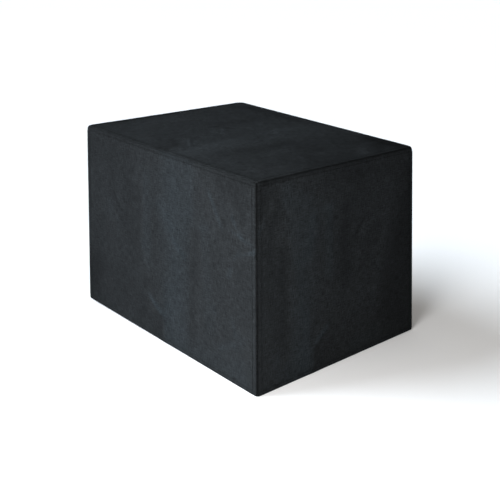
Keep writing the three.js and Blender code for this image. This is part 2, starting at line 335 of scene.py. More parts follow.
BACK_PAINTED_LIGHT_AND_SHADE = (
    (-60, 350, 1400, 2, (70, 60), 12),
    (-430, 560, 460, -15, 90, -18),
    (420, 120, 460, -10, 100, -20),
    (230, 380, 700, -4, (26, 24), -16),
    (150, 330, 520, 3, 30, 14),
    (-220, 300, 560, 2, (24, 34), -14),
    (-300, 200, 380, 0, (30, 24), 10),
    (-240, 480, 170, 30, (12, 14), 22),
    (60, 210, 140, -38, (10, 12), -20),
    (255, 522, 140, 22, (12, 10), 18),
    (-385, 165, 120, -28, (12, 14), 18),
    (390, 150, 120, 34, (10, 12), 18),
    (340, 640, 300, 90, (60, 50), -12),
)
LEFT_PAINTED_LIGHT_AND_SHADE = (
    (40, 350, 1200, -3, (60, 70), 14),
    (-300, 480, 460, 12, 70, -18),
    (310, 160, 420, 8, 80, -20),
    (-90, 330, 560, 3, (24, 30), -18),
    (-30, 420, 420, 0, (26, 24), 14),
    (180, 300, 520, -2, 24, 12),
    (-230, 500, 150, -28, (12, 14), 20),
    (70, 200, 130, 36, (10, 12), -20),
    (270, 560, 130, 24, (10, 13), 18),
    (-125, 125, 140, -40, (11, 12), 20),
    (-10, 655, 600, 90, (32, 30), -12),
)
TOP_PAINTED_LIGHT_AND_SHADE = (
    (60, -322, 800, 90, 26, 4),
    (-190, 305, 560, 90, 40, -13),
    (300, 322, 260, 90, 30, -12),
    (-400, 300, 200, 60, 50, -10),
    (-250, 225, 260, 90, 40, -7),
    (235, -140, 380, 0, (34, 60), 13),
    (150, -315, 320, 90, (50, 40), 6),
    (250, 0, 120, 90, 40, -6),
    (250, 110, 360, 0, 60, -10),
    (92, -170, 340, 0, (60, 50), 14),
    (168, -70, 330, 2, (22, 16), -13),
    (-300, 0, 240, 0, 60, 8),
    (55, -230, 520, 0, (45, 90), 24),
    (-180, -180, 700, 90, 190, 14),
    (400, 120, 800, 0, 150, -24),
    (330, 300, 500, 90, 90, -10),
    (-230, 318, 460, 90, 32, -20),
    (0, 325, 900, 90, 22, -10),
    (400, 330, 340, 85, (34, 40), -28),
    (415, 245, 190, -50, 28, -22),
    (458, 300, 210, -45, (42, 50), -18),
    (455, 20, 300, 0, 40, -18),
    (404, 178, 120, -45, 20, 32),
    (60, 130, 260, -35, 70, 20),
    (28, 118, 110, -45, (13, 14), 26),
    (109, 25, 130, -42, 12, 22),
    (180, 150, 110, -35, 18, 14),
    (-83, 70, 280, 0, 40, 13),
    (-33, 128, 90, -40, 16, -16),
    (-145, -5, 100, -38, (14, 12), -22),
    (-94, -31, 80, -48, (6, 9), 68),
    (-170, 110, 300, 3, (26, 24), -15),
    (34, -85, 110, -30, 26, -10),
    (-28, -228, 150, -53, (5, 7), 100),
    (-20, -208, 150, -53, (9, 13), 30),
    (-58, -262, 140, -54, (20, 14), -22),
    (30, -305, 170, 0, (14, 50), 14),
    (-12, -305, 140, 0, (40, 10), -14),
    (105, -130, 340, 0, (35, 25), 14),
    (190, 60, 520, 3, (24, 26), -20),
    (345, 130, 180, 20, 30, -13),
    (260, -290, 440, 90, 40, 12),
    (402, -198, 90, -40, 12, 16),
    (445, -295, 150, -50, 26, -14),
    (-445, -50, 640, 0, (25, 30), -8),
    (-395, -35, 80, -45, 14, 14),
    (-300, -115, 220, -60, 40, 8),
    (-270, -312, 360, 90, 30, 12),
)

# How strongly the three colours follow the painted light: where painted light makes the upright
# cloth lighter, it also turns it bluer, like the cool light from the window
SIDE_PAINTED_LIGHT_TINT = (0.68, 1.0, 1.2)
TOP_PAINTED_LIGHT_TINT = (0.95, 1.0, 1.05)

# Seeds for the small unevenness that no table holds
RIPPLE_SEED = 11
PUCKER_SEED = 23
THREAD_SEED = 37

# Slight waves over all the cloth, and small gathers that fade away from the stitches
RIPPLE_WAVES = 26
RIPPLE_LONGEST = 320 * MM
RIPPLE_SHORTEST = 34 * MM
PUCKER_WAVES = 9
PUCKER_LONGEST = 34 * MM
PUCKER_SHORTEST = 13 * MM
PUCKER_REACH = 16 * MM

# How far the painted shade reaches: in from an edge, past the stitches, and to both sides of them
CREVICE_REACH = 4.5 * MM
STRIP_FADE = 8 * MM
STITCH_REACH = 2.6 * MM

# Mesh lines beside an edge: how many cross the turned strip and the half circle, where the next
# stand on the way to the stitches, as shares, and beside the stitches, in millimetres. The even
# spacing starts a share of it further on, and is finer on the panels that face the camera.
STRIP_LINES = 4
CIRCLE_LINES = 8
LINES_TO_ROW = (0.08, 0.22, 0.42, 0.62, 0.78)
LINES_AT_ROW = (-2.2, -1.3, -0.6, 0, 0.6, 1.3, 2.2, 3.4, 5.0, 7.2)
OPEN_START = 0.6
FINE = 5.2 * MM
COARSE = 7.5 * MM

# The end of a mitred strip as a share of its width, the room for rounding past the half circle,
# a length that counts as none, and the grid that measures each panel's outline
MITRE_END = 0.02
ARC_ROOM = 1.001
NO_LENGTH = 1e-9
OUTLINE_COLUMNS = 241
OUTLINE_ROWS = 181

# A stitch is a thread with a few sides on a few rings, thinner towards its ends. Its lift and dive
# are shares of its thickness. Chance differences are shares too: of the pitch for its place, of
# its length, of its thickness for its step aside, and its slant. A small step measures the cloth's
# slope, and level rows stop a little short of the seams.
THREAD_SIDES = 5
STATIONS = np.linspace(-1, 1, 5)
END_TAPER = 0.8
THREAD_LIFT = 0.45
THREAD_DIVE = 1.2
PLACE_SPREAD = 0.03
LENGTH_SPREAD = 0.04
ASIDE_SPREAD = 0.1
SLANT_SPREAD = 0.03
SLOPE_STEP = 0.3 * MM
ROW_END = 2 * MM

# Patterns in the cloth and the thread: their features to a metre, the size of a slub, how strongly
# each changes the brightness, and each bump's strength and depth
MOTTLE_SCALE = 38
GRAIN_SCALE = 260
FIBRE_SCALE = 2200
SLUB_LENGTH = 24 * MM
SLUB_WIDTH = 2.7 * MM
SLUB_DETAIL = 2
SLUB_SHARPNESS = 0.6
MOTTLE_DEPTH = 0.4
GRAIN_DEPTH = 0.9
SLUB_DEPTH = 1.9
WEAVE_DEPTH = 0.24
WEAVE_MIDDLE = 2 / 3
FIBRE_DEPTH = 0.7
MOTTLE_BUMP = (0.5, 0.7 * MM)
GRAIN_BUMP = (0.6, 0.25 * MM)
WEAVE_BUMP = (0.5, 0.12 * MM)
FIBRE_BUMP = (0.6, 0.15 * MM)

# Finishes, where the cloth's roughness follows its grain
CLOTH_ROUGHNESS = 0.82
ROUGHNESS_DEPTH = 0.16
THREAD_ROUGHNESS = 0.55
THREAD_GLOSS = 0.06
FLOOR_ROUGHNESS = 0.9
FLOOR_GLOSS = 0.1

# A panel has a left, right, lower and upper border: how far the stitches are from the edge, how
# wide the strip is that they hold, and how much painted shade darkens the stitches, the strip and
# the seam's crevice
Border = namedtuple("Border", "stitch strip row_shade strip_shade crevice")
LONG_UPRIGHT = Border(18 * MM, 20.5 * MM, 0.33, 0, 0.6)
LONG_HEAD = Border(13 * MM, 15.5 * MM, 0.25, 0.14, 0.3)
SHORT_UPRIGHT = Border(18 * MM, 20.5 * MM, 0.22, 0.06, 0.75)
SHORT_HEAD = Border(13 * MM, 15.5 * MM, 0.12, 0.2, 0.4)
HEM = Border(14 * MM, 16.5 * MM, 0.3, 0, 0.05)
TOP_SEAM = Border(15 * MM, 17.5 * MM, 0.36, 0, 0.2)
LONG_BORDERS = (LONG_UPRIGHT, LONG_UPRIGHT, HEM, LONG_HEAD)
SHORT_BORDERS = (SHORT_UPRIGHT, SHORT_UPRIGHT, HEM, SHORT_HEAD)
TOP_BORDERS = (TOP_SEAM,) * 4

# A side panel stands at a distance in front of the middle and is turned about it by quarter
# turns. The top panel has no distance.
Panel = namedtuple(
    "Panel", "node width distance quarter_turns borders folds creases nap tint spacing seed"
)
PANELS = (
    Panel(
        "front_panel", WIDTH, DEPTH / 2, 0, LONG_BORDERS, FRONT_FOLDS, FRONT_CREASES, FRONT_PAINTED_LIGHT_AND_SHADE,
        SIDE_PAINTED_LIGHT_TINT, FINE, 1,
    ),
    Panel(
        "right_panel", DEPTH, WIDTH / 2, 1, SHORT_BORDERS, RIGHT_FOLDS, RIGHT_CREASES, RIGHT_PAINTED_LIGHT_AND_SHADE,
        SIDE_PAINTED_LIGHT_TINT, FINE, 2,
    ),
    Panel(
        "back_panel", WIDTH, DEPTH / 2, 2, LONG_BORDERS, BACK_FOLDS, BACK_CREASES, BACK_PAINTED_LIGHT_AND_SHADE,
        SIDE_PAINTED_LIGHT_TINT, COARSE, 3,
    ),
    Panel(
        "left_panel", DEPTH, WIDTH / 2, 3, SHORT_BORDERS, LEFT_FOLDS, LEFT_CREASES, LEFT_PAINTED_LIGHT_AND_SHADE,
        SIDE_PAINTED_LIGHT_TINT, COARSE, 4,
    ),
    Panel(
        "top_panel", WIDTH, None, 0, TOP_BORDERS, TOP_FOLDS, TOP_CREASES, TOP_PAINTED_LIGHT_AND_SHADE,
        TOP_PAINTED_LIGHT_TINT, FINE, 5,
    ),
)

# Stage: places and sizes in metres, angles in degrees. The focal length is a share of the
# picture's width. A sun has a name, a compass turn from +X towards +Y with a height above the
# horizon, a spread and a tint.
CAMERA_PLACE = (2.42195, -2.00963, 1.47288)
CAMERA_YAW = 140.02
CAMERA_PITCH = 21.051
CAMERA_FOCAL_SHARE = 899.4 / 500
SENSOR = 36
FLOOR_SIZE = 80
FLOOR_DROP = 0.3 * MM
SUNS = (
    ("window", (-140, 30), 50, (0.87, 0.96, 1.05)),
    ("overhead", (0, 90), 70, (1.03, 1.0, 0.96)),
)
LAMP_PLACE = (1.0, -1.25, 0.95)
LAMP_AIM = (0.5, -0.35, 0.5)
LAMP_SIZE = 0.6


def is_side(panel):
    """Whether a panel is one of the four sides."""
    return panel.distance is not None


def smooth(value):
    """3x^2 - 2x^3 of a value that is first held between 0 and 1."""
    held = np.clip(value, 0, 1)
    return held * held * (3 - 2 * held)


def unit(vectors):
    """Vectors of length 1."""
    return vectors / np.linalg.norm(vectors, axis=-1, keepdims=True)


def ridges(table, across, up):
    """Sum of a table's ridges: each is a bell across its own line, with its own reach on either
    side, and tapers smoothly to nothing at both ends of its length."""
    total = 0
    for across_mm, up_mm, length_mm, turn, reach_mm, rise in table:
        sine = math.sin(math.radians(turn))
        cosine = math.cos(math.radians(turn))
        from_x = across - across_mm * MM
        from_y = up - up_mm * MM
        along = from_x * sine + from_y * cosine
        aside = from_x * cosine - from_y * sine
        reach = np.where(aside < 0, *np.broadcast_to(reach_mm, 2)) * MM
        taper = smooth(2 * (1 - 2 * np.abs(along) / (length_mm * MM)))
        total += rise * taper * np.exp(-((aside / reach) ** 2))
    return total


def ripples(seed, across, up):
    """Slight waves of the cloth: a sum of sines with random turns and phases. Each wave's height
    grows with its length, so that all have about the same slope."""
    rng = np.random.default_rng(RIPPLE_SEED + seed)
    total = 0
    for length in np.geomspace(RIPPLE_LONGEST, RIPPLE_SHORTEST, RIPPLE_WAVES):
        turn, phase = rng.uniform(0, 2 * math.pi, 2)
        travel = across * math.cos(turn) + up * math.sin(turn)
        total += length / RIPPLE_LONGEST * np.sin(2 * math.pi * travel / length + phase)
    return total


def puckers(seed, along):
    """Small gathers along a row of stitches: a sum of short sines with random phases, divided by
    the root of their number."""
    rng = np.random.default_rng(PUCKER_SEED + seed)
    total = 0
    for length in np.geomspace(PUCKER_LONGEST, PUCKER_SHORTEST, PUCKER_WAVES):
        phase = rng.uniform(0, 2 * math.pi)
        total += np.sin(2 * math.pi * along / length + phase)
    return total / math.sqrt(PUCKER_WAVES)


def pull_corners(points):
    """Each point of the even box moves by its share, along x, y and z, of the eight corners' pulls
    and of the hem's flare. Near a corner a bell of the distance also draws it inwards."""
    pulled = points.copy()
    x, y, z = points[..., 0], points[..., 1], points[..., 2]
    for side_x, side_y, level, aside, pull_up in CORNER_PULLS:
        pull_x, pull_y = aside * math.cos(ASIDE_WAY), aside * math.sin(ASIDE_WAY)
        share = (1 + side_x * x / (WIDTH / 2)) / 2 * (1 + side_y * y / (DEPTH / 2)) / 2
        share = share * (z / HEIGHT if level else 1 - z / HEIGHT)
        flare = 0 if level else HEM_FLARE
        corner = np.array((side_x * WIDTH / 2, side_y * DEPTH / 2, level * HEIGHT))
        distance = np.linalg.norm(points - corner, axis=-1)
        blunt = TOP_CORNER_BLUNT if level else HEM_CORNER_BLUNT
        inward = blunt / math.sqrt(3) * np.exp(-((distance / BLUNT_REACH) ** 2))
        pulled[..., 0] += share * (pull_x * MM + side_x * flare) - side_x * inward
        pulled[..., 1] += share * (pull_y * MM + side_y * flare) - side_y * inward
        pulled[..., 2] += share * pull_up * MM + (-inward if level else inward)
    return pulled


def half_spans(panel):
    """Half the panel's width and its lowest and highest place, all measured along the cloth from
    seam to seam."""
    straight = panel.width / 2 - CORNER_RADIUS
    if is_side(panel):
        return straight + CORNER_ARC, 0.0, HEIGHT - FOLD_RADIUS + FOLD_ARC
    back = DEPTH / 2 - CORNER_RADIUS + TOP_RIM
    return straight + TOP_RIM, -back, back


def turned(x, y, z, quarter_turns):
    """Points or directions, turned about z."""
    turn = quarter_turns * math.pi / 2
    sine, cosine = round(math.sin(turn)), round(math.cos(turn))
    return np.stack((x * cosine - y * sine, x * sine + y * cosine, z), axis=-1)


def side_place(panel, across, up):
    """Point and outward direction on the even box at lengths across and up a side panel. Past
    its straight stretches the cloth follows arcs round the upright corner and the top fold."""
    straight = panel.width / 2 - CORNER_RADIUS
    place = np.clip(across, -straight, straight)
    angle = (across - place) / CORNER_RADIUS
    level = np.minimum(up, HEIGHT - FOLD_RADIUS)
    tilt = (up - level) / FOLD_RADIUS
    radius = CORNER_RADIUS - FOLD_RADIUS * (1 - np.cos(tilt))
    x = place + radius * np.sin(angle)
    y = -(panel.distance - CORNER_RADIUS) - radius * np.cos(angle)
    z = level + FOLD_RADIUS * np.sin(tilt)
    out_x = np.sin(angle) * np.cos(tilt)
    out_y = -np.cos(angle) * np.cos(tilt)
    point = turned(x, y, z, panel.quarter_turns)
    return point, turned(out_x, out_y, np.sin(tilt), panel.quarter_turns)


def top_place(panel, across, up):
    """The same on the top panel, where up runs towards the back. The square corners of the two
    lengths are carried onto quarter circles, x sqrt(1 - y^2 / 2), and past a short flat rim the
    cloth follows the arc of the top fold."""
    straight_x = panel.width / 2 - CORNER_RADIUS
    straight_y = DEPTH / 2 - CORNER_RADIUS
    place_x = np.clip(across, -straight_x, straight_x)
    place_y = np.clip(up, -straight_y, straight_y)
    step_x = (across - place_x) / TOP_RIM
    step_y = (up - place_y) / TOP_RIM
    corner_x = step_x * np.sqrt(1 - step_y**2 / 2)
    corner_y = step_y * np.sqrt(1 - step_x**2 / 2)
    past = np.hypot(corner_x, corner_y)
    way_x = corner_x / np.maximum(past, NO_LENGTH)
    way_y = corner_y / np.maximum(past, NO_LENGTH)
    flat = CORNER_RADIUS - FOLD_RADIUS
    tilt = np.maximum(0, past * TOP_RIM - flat) / FOLD_RADIUS
    reach = np.minimum(past * TOP_RIM, flat) + FOLD_RADIUS * np.sin(tilt)
    level = HEIGHT - FOLD_RADIUS * (1 - np.cos(tilt))
    point = np.stack((place_x + way_x * reach, place_y + way_y * reach, level), axis=-1)
    outward = np.stack((way_x * np.sin(tilt), way_y * np.sin(tilt), np.cos(tilt)), axis=-1)
    return point, outward


def edge_distances(panel, across, up):
    """Distances along the cloth to the left, right, lower and upper edge of a panel."""
    half, low, high = half_spans(panel)
    return across + half, half - across, up - low, high - up


def relief(panel, across, up, sizes):
    """Height of the cloth's surface above the even box: folds, creases and slight ripples that
    calm down towards the seams, doubled strips, and a groove with gathers along the stitches."""
    edges = edge_distances(panel, across, up)
    seams = [distance for distance, border in zip(edges, panel.borders) if border is not HEM]
    calm = smooth((np.minimum.reduce(seams) - PACKED_BAND) / FOLDS_START)
    if is_side(panel):
        calm = calm * (HEM_FOLDS + (1 - HEM_FOLDS) * smooth(up / HEM_CALM))
    height = calm * ridges(panel.folds, across, up) * MM * sizes.fold_strength
    fine = smooth((np.minimum.reduce(edges) - PACKED_BAND) / PACKED_BAND)
    height += fine * ridges(panel.creases, across, up) * MM * sizes.fold_strength
    height += fine * ripples(panel.seed, across, up) * sizes.ripple_rise
    strips, groove, gathers = 0, 0, 0
    for i, (distance, border) in enumerate(zip(edges, panel.borders)):
        along = up if i < 2 else across
        strips = np.maximum(strips, 1 - smooth((distance - border.strip) / sizes.strip_slope))
        bell = np.exp(-(((distance - border.stitch) / sizes.groove_reach) ** 2))
        groove = np.maximum(groove, bell)
        near = np.exp(-np.maximum(distance - border.stitch, 0) / PUCKER_REACH)
        near = near * smooth(distance / border.stitch)
        gathers += near * puckers(panel.seed * len(edges) + i, along)
    doubled = strips * sizes.strip_rise - groove * sizes.groove_depth
    return height + doubled + gathers * sizes.pucker_rise


def seam_shade(panel, across, up):
    """Share of painted shade that darkens the cloth in the crevice at each edge, on its doubled strip
    and along its stitches, each a bell or a smooth step of the distance. The darkest edge counts."""
    shade = 0
    for distance, border in zip(edge_distances(panel, across, up), panel.borders):
        crevice = border.crevice * np.exp(-((np.maximum(distance, 0) / CREVICE_REACH) ** 2))
        strip = border.strip_shade * (1 - smooth((distance - border.stitch) / STRIP_FADE))
        row = border.row_shade * np.exp(-(((distance - border.stitch) / STITCH_REACH) ** 2))
        shade = np.maximum(shade, crevice + strip + row)
    return shade


def painted_cloth_tone(panel, across, up):
    """Share of the cloth's red, green and blue at each place, all of it painted light and shade: 1,
    the painted shade and the tinted painted light together, times what the painted shade of the seams
    leaves."""
    nap = ridges(panel.nap, across, up)[..., None] / 100
    tone = 1 + np.minimum(nap, 0) + np.maximum(nap, 0) * np.array(panel.tint)
    return tone * (1 - seam_shade(panel, across, up))[..., None]


def cloth_points(panel, across, up, depth, sizes):
    """Points at a depth under the cloth's outer surface, with its relief and pulled corners."""
    place = side_place if is_side(panel) else top_place
    point, outward = place(panel, across, up)
    lifted = relief(panel, across, up, sizes) - depth
    return pull_corners(point + outward * lifted[..., None])


@cache
def seat():
    """The shift from the even box to the frame, worked out once. It carries the middle of the
    cover's outline, and its hem's lowest point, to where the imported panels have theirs."""
    sizes = bpy.context.scene.cover_sizes
    points = []
    for panel in PANELS:
        half, low, high = half_spans(panel)
        columns = np.linspace(-half, half, OUTLINE_COLUMNS)
        across, up = np.meshgrid(columns, np.linspace(low, high, OUTLINE_ROWS))
        points.append(cloth_points(panel, across, up, 0, sizes))
    low, high = np.min(points, axis=(0, 1, 2)), np.max(points, axis=(0, 1, 2))
    cad_low, cad_high = np.array(CAD_BOX)
    shift = (cad_low + cad_high - low - high) / 2
    shift[2] = cad_low[2] - low[2]
    return shift


def turn_over(past, radius):
    """Where cloth that is folded over an edge lies: its advance past the edge and its depth. It
    follows a half circle of the given radius and then runs straight back underneath."""
    angle = np.clip(past / radius, 0, math.pi)
    beyond = np.maximum(past - math.pi * radius, 0)
    advance = np.where(past < 0, past, radius * np.sin(angle) - beyond)
    return advance, radius * (1 - np.cos(angle))


def edge_lines(border, radius, spacing):
    """Places of the mesh lines beside one edge, measured inwards from the start of its fold, so
    the folded part is negative, and the place where the open cloth starts."""
    half_turn = math.pi * radius
    inside = -half_turn - np.linspace(border.strip, 0, STRIP_LINES + 1)[:-1]
    circle = -np.linspace(half_turn, 0, CIRCLE_LINES)
    towards = np.array(LINES_TO_ROW) * border.stitch
    row = border.stitch + np.array(LINES_AT_ROW) * MM
    return np.concatenate((inside, circle, towards, row)), row[-1] + OPEN_START * spacing


def mesh_lines(low, high, low_border, high_border, radius, spacing):
    """All mesh lines from one edge's turned strip to the other's."""
    low_lines, low_open = edge_lines(low_border, radius, spacing)
    high_lines, high_open = edge_lines(high_border, radius, spacing)
    count = int(round((high - low - low_open - high_open) / spacing)) + 1
    middle = np.linspace(low + low_open, high - high_open, count)
    return np.concatenate((low + low_lines, middle, (high - high_lines)[::-1]))


def grid_faces(past_x, past_y, arc):
    """Quads of a grid, from how far its points are past the folds beside it and at its ends. On a
    turned strip they are kept only short of the other fold."""
    cell_x = np.maximum(past_x[:-1, :-1], past_x[1:, 1:])
    cell_y = np.maximum(past_y[:-1, :-1], past_y[1:, 1:])
    near_arc = arc * ARC_ROOM
    kept = (cell_x <= near_arc) & (cell_y <= near_arc)
    kept |= (cell_x > near_arc) & (cell_y <= NO_LENGTH)
    kept |= (cell_y > near_arc) & (cell_x <= NO_LENGTH)
    number = np.arange(past_x.size).reshape(past_x.shape)
    corners = (number[:-1, :-1], number[:-1, 1:], number[1:, 1:], number[1:, :-1])
    return np.stack(corners, axis=-1)[kept]


def sheet_grid(panel, sizes):
    """Vertices, faces, flat places and tones of a panel's middle surface. The grid runs on past
    the edges, where the cloth turns over and lies flat inside, mitred where two strips meet."""
    radius = sizes.turn_radius
    arc = math.pi * radius
    half, low, high = half_spans(panel)
    inset = SEAM_GAP / 2 + sizes.cloth_thickness / 2 + radius
    side, foot, head = half - inset, low + inset, high - inset
    left, right, lower, upper = panel.borders
    columns = mesh_lines(-side, side, left, right, radius, panel.spacing)
    rows = mesh_lines(foot, head, lower, upper, radius, panel.spacing)
    flat_x, flat_y = np.meshgrid(columns, rows)
    past_x = np.abs(flat_x) - side
    past_y = np.maximum(foot - flat_y, flat_y - head)
    is_lower = flat_y < (low + high) / 2
    strip_x = np.where(flat_x < 0, left.strip, right.strip)
    strip_y = np.where(is_lower, lower.strip, upper.strip)
    mitre_x = np.clip(-past_y / strip_x, MITRE_END, 1)
    mitre_y = np.clip(-past_x / strip_y, MITRE_END, 1)
    over_x = np.where(past_x > arc, arc + (past_x - arc) * mitre_x, past_x)
    over_y = np.where(past_y > arc, arc + (past_y - arc) * mitre_y, past_y)
    advance_x, depth_x = turn_over(over_x, radius)
    advance_y, depth_y = turn_over(over_y, radius)
    across = np.sign(flat_x) * (side + advance_x)
    up = np.where(is_lower, foot - advance_y, head + advance_y)
    depth = depth_x + depth_y + sizes.cloth_thickness / 2
    points = cloth_points(panel, across, up, depth, sizes).reshape(-1, 3)
    used, faces = np.unique(grid_faces(past_x, past_y, arc), return_inverse=True)
    flat = np.stack((flat_x, flat_y), axis=-1).reshape(-1, 2)
    tone = painted_cloth_tone(panel, across, up).reshape(-1, 3)
    return points[used], faces.reshape(-1, 4), flat[used], tone[used]


def stitch_rows(panel):
    """Start and end of each row of stitches on a panel, as lengths across and up."""
    half, low, high = half_spans(panel)
    left, right, lower, upper = (border.stitch for border in panel.borders)
    foot, head = low + lower, high - upper
    end = half - ROW_END
    return (
        ((-half + left, foot), (-half + left, head)),
        ((half - right, foot), (half - right, head)),
        ((-end, head), (end, head)),
        ((-end, foot), (end, foot)),
    )


def stitch_courses(row, sizes, rng):
    """Lengths across and up at each stitch's rings in one row, and the row's way."""
    start, end = np.array(row)
    length = np.linalg.norm(end - start)
    way = (end - start) / length
    number = max(1, int(round(length / (sizes.stitch_length + sizes.stitch_gap))))
    pitch = length / number
    middles = (np.arange(number) + 0.5) * pitch + rng.normal(0, PLACE_SPREAD, number) * pitch
    halves = sizes.stitch_length / 2 * rng.normal(1, LENGTH_SPREAD, number)
    aside = rng.normal(0, ASIDE_SPREAD, number) * sizes.thread_thickness
    slant = rng.normal(0, SLANT_SPREAD, number)
    travel = middles[:, None] + halves[:, None] * STATIONS
    offset = aside[:, None] + slant[:, None] * halves[:, None] * STATIONS
    across = start[0] + way[0] * travel - way[1] * offset
    up = start[1] + way[1] * travel + way[0] * offset
    return across, up, way


def thread_points(panel, across, up, way, sizes):
    """Rings of points round the middle of each stitch, which follows the cloth's surface, bulges
    by a parabola and dives in at both ends, where the thread is thinner."""
    centre = cloth_points(panel, across, up, 0, sizes)
    step_x, step_y = way * SLOPE_STEP
    along = unit(cloth_points(panel, across + step_x, up + step_y, 0, sizes) - centre)
    beside = cloth_points(panel, across - step_y, up + step_x, 0, sizes) - centre
    sideways = unit(beside - along * np.sum(beside * along, axis=-1, keepdims=True))
    outward = np.cross(along, sideways)
    lifts = (THREAD_LIFT - THREAD_DIVE * STATIONS**2) * sizes.thread_thickness
    radii = np.sqrt(1 - END_TAPER * STATIONS**4) * sizes.thread_thickness / 2
    spin = 2 * math.pi * np.arange(THREAD_SIDES) / THREAD_SIDES
    wide = sideways[..., None, :] * np.cos(spin)[:, None]
    high = outward[..., None, :] * np.sin(spin)[:, None]
    middles = (centre + outward * lifts[:, None])[..., None, :]
    return (middles + radii[:, None, None] * (wide + high)).reshape(-1, 3)


def thread_faces(number):
    """Quads between the rings of a number of stitches, and a cap at both ends of each."""
    first = np.arange(number)[:, None, None] * len(STATIONS) * THREAD_SIDES
    near = first + np.arange(len(STATIONS) - 1)[:, None] * THREAD_SIDES
    far = near + THREAD_SIDES
    here = np.arange(THREAD_SIDES)
    after = (here + 1) % THREAD_SIDES
    quads = np.stack((near + here, near + after, far + after, far + here), axis=-1)
    caps = np.concatenate((near[:, 0] + here[::-1], far[:, -1] + here))
    return quads.reshape(-1, 4).tolist() + caps.tolist()


def stitch_mesh(panel, sizes):
    """Points and faces of all the stitches of a panel."""
    rng = np.random.default_rng(THREAD_SEED + panel.seed)
    courses = [stitch_courses(row, sizes, rng) for row in stitch_rows(panel)]
    points = np.concatenate([thread_points(panel, *course, sizes) for course in courses])
    return points, thread_faces(len(points) // (len(STATIONS) * THREAD_SIDES))


def cut_area(panel):
    """Flat width, length and area of a panel's cut: its face, a trapezium on the sides, with the
    turned strips, which are cut off at 45 degrees where two of them meet."""
    half, low, high = half_spans(panel)
    left, right, lower, upper = (border.strip for border in panel.borders)
    flare = HEM_FLARE if is_side(panel) else 0
    middle, height = 2 * half + flare, high - low
    area = middle * height + (left + right) * height + (lower + upper) * middle
    return middle + flare + left + right, height + lower + upper, area


def new_object(name, data):
    """An object at the origin that holds the data, linked to the scene."""
    made = bpy.data.objects.new(name, data)
    bpy.context.scene.collection.objects.link(made)
    return made


def new_piece(name, points, faces, material):
    """A smooth-shaded piece that rides on the cover's body, with its place in its mesh."""
    mesh = bpy.data.meshes.new(name)
    mesh.from_pydata((points + seat()).tolist(), [], faces)
    mesh.shade_smooth()
    mesh.materials.append(material)
    mesh.validate()
    mesh.update()
    piece = new_object(name, mesh)
    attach(piece, BODY)
    return piece


def empty_material(name):
    """A material without nodes, and two short ways to add them: by a node's type, its settings
    and its inputs, named or as i0, i1 and so on, and by one step of arithmetic."""
    material = bpy.data.materials.new(name)
    material.use_nodes = True
    tree = material.node_tree
    tree.nodes.clear()

    def add(kind, settings=None, **inputs):
        node = tree.nodes.new(kind)
        for setting, value in (settings or {}).items():
            setattr(node, setting, value)
        for key, value in inputs.items():
            numbered = key[0] == "i" and key[1:].isdigit()
            socket = node.inputs[int(key[1:]) if numbered else key.replace("_", " ")]
            if isinstance(value, bpy.types.NodeSocket):
                tree.links.new(value, socket)
            else:
                socket.default_value = value
        return node

    def compute(operation, *values):
        numbered = {f"i{i}": value for i, value in enumerate(values)}
        return add("ShaderNodeMath", {"operation": operation}, **numbered).outputs[0]

    return material, add, compute


def add_noise(add, place, scale, detail=1, sharpness=0.5):
    """Soft noise from 0 to 1."""
    inputs = {"Vector": place, "Scale": scale, "Detail": detail, "Roughness": sharpness}
    return add("ShaderNodeTexNoise", **inputs).outputs[0]


def add_bump(add, height, strength, depth, **under):
    """Bump from a height, on top of another whose normal is given."""
    bump = add("ShaderNodeBump", Height=height, Strength=strength, Distance=depth, **under)
    return bump.outputs[0]


def vary(compute, pattern, depth, middle=0.5, level=1):
    """A pattern times a depth, moved so that the pattern's middle gives the level."""
    return compute("MULTIPLY_ADD", pattern, depth, level - depth * middle)


def add_surface(add, colour, roughness, gloss, **bump):
    """The material's shader and its output."""
    look = {"Base Color": colour, "Roughness": roughness, "Specular IOR Level": gloss}
    shader = add("ShaderNodeBsdfPrincipled", **look, **bump)
    add("ShaderNodeOutputMaterial", Surface=shader.outputs[0])


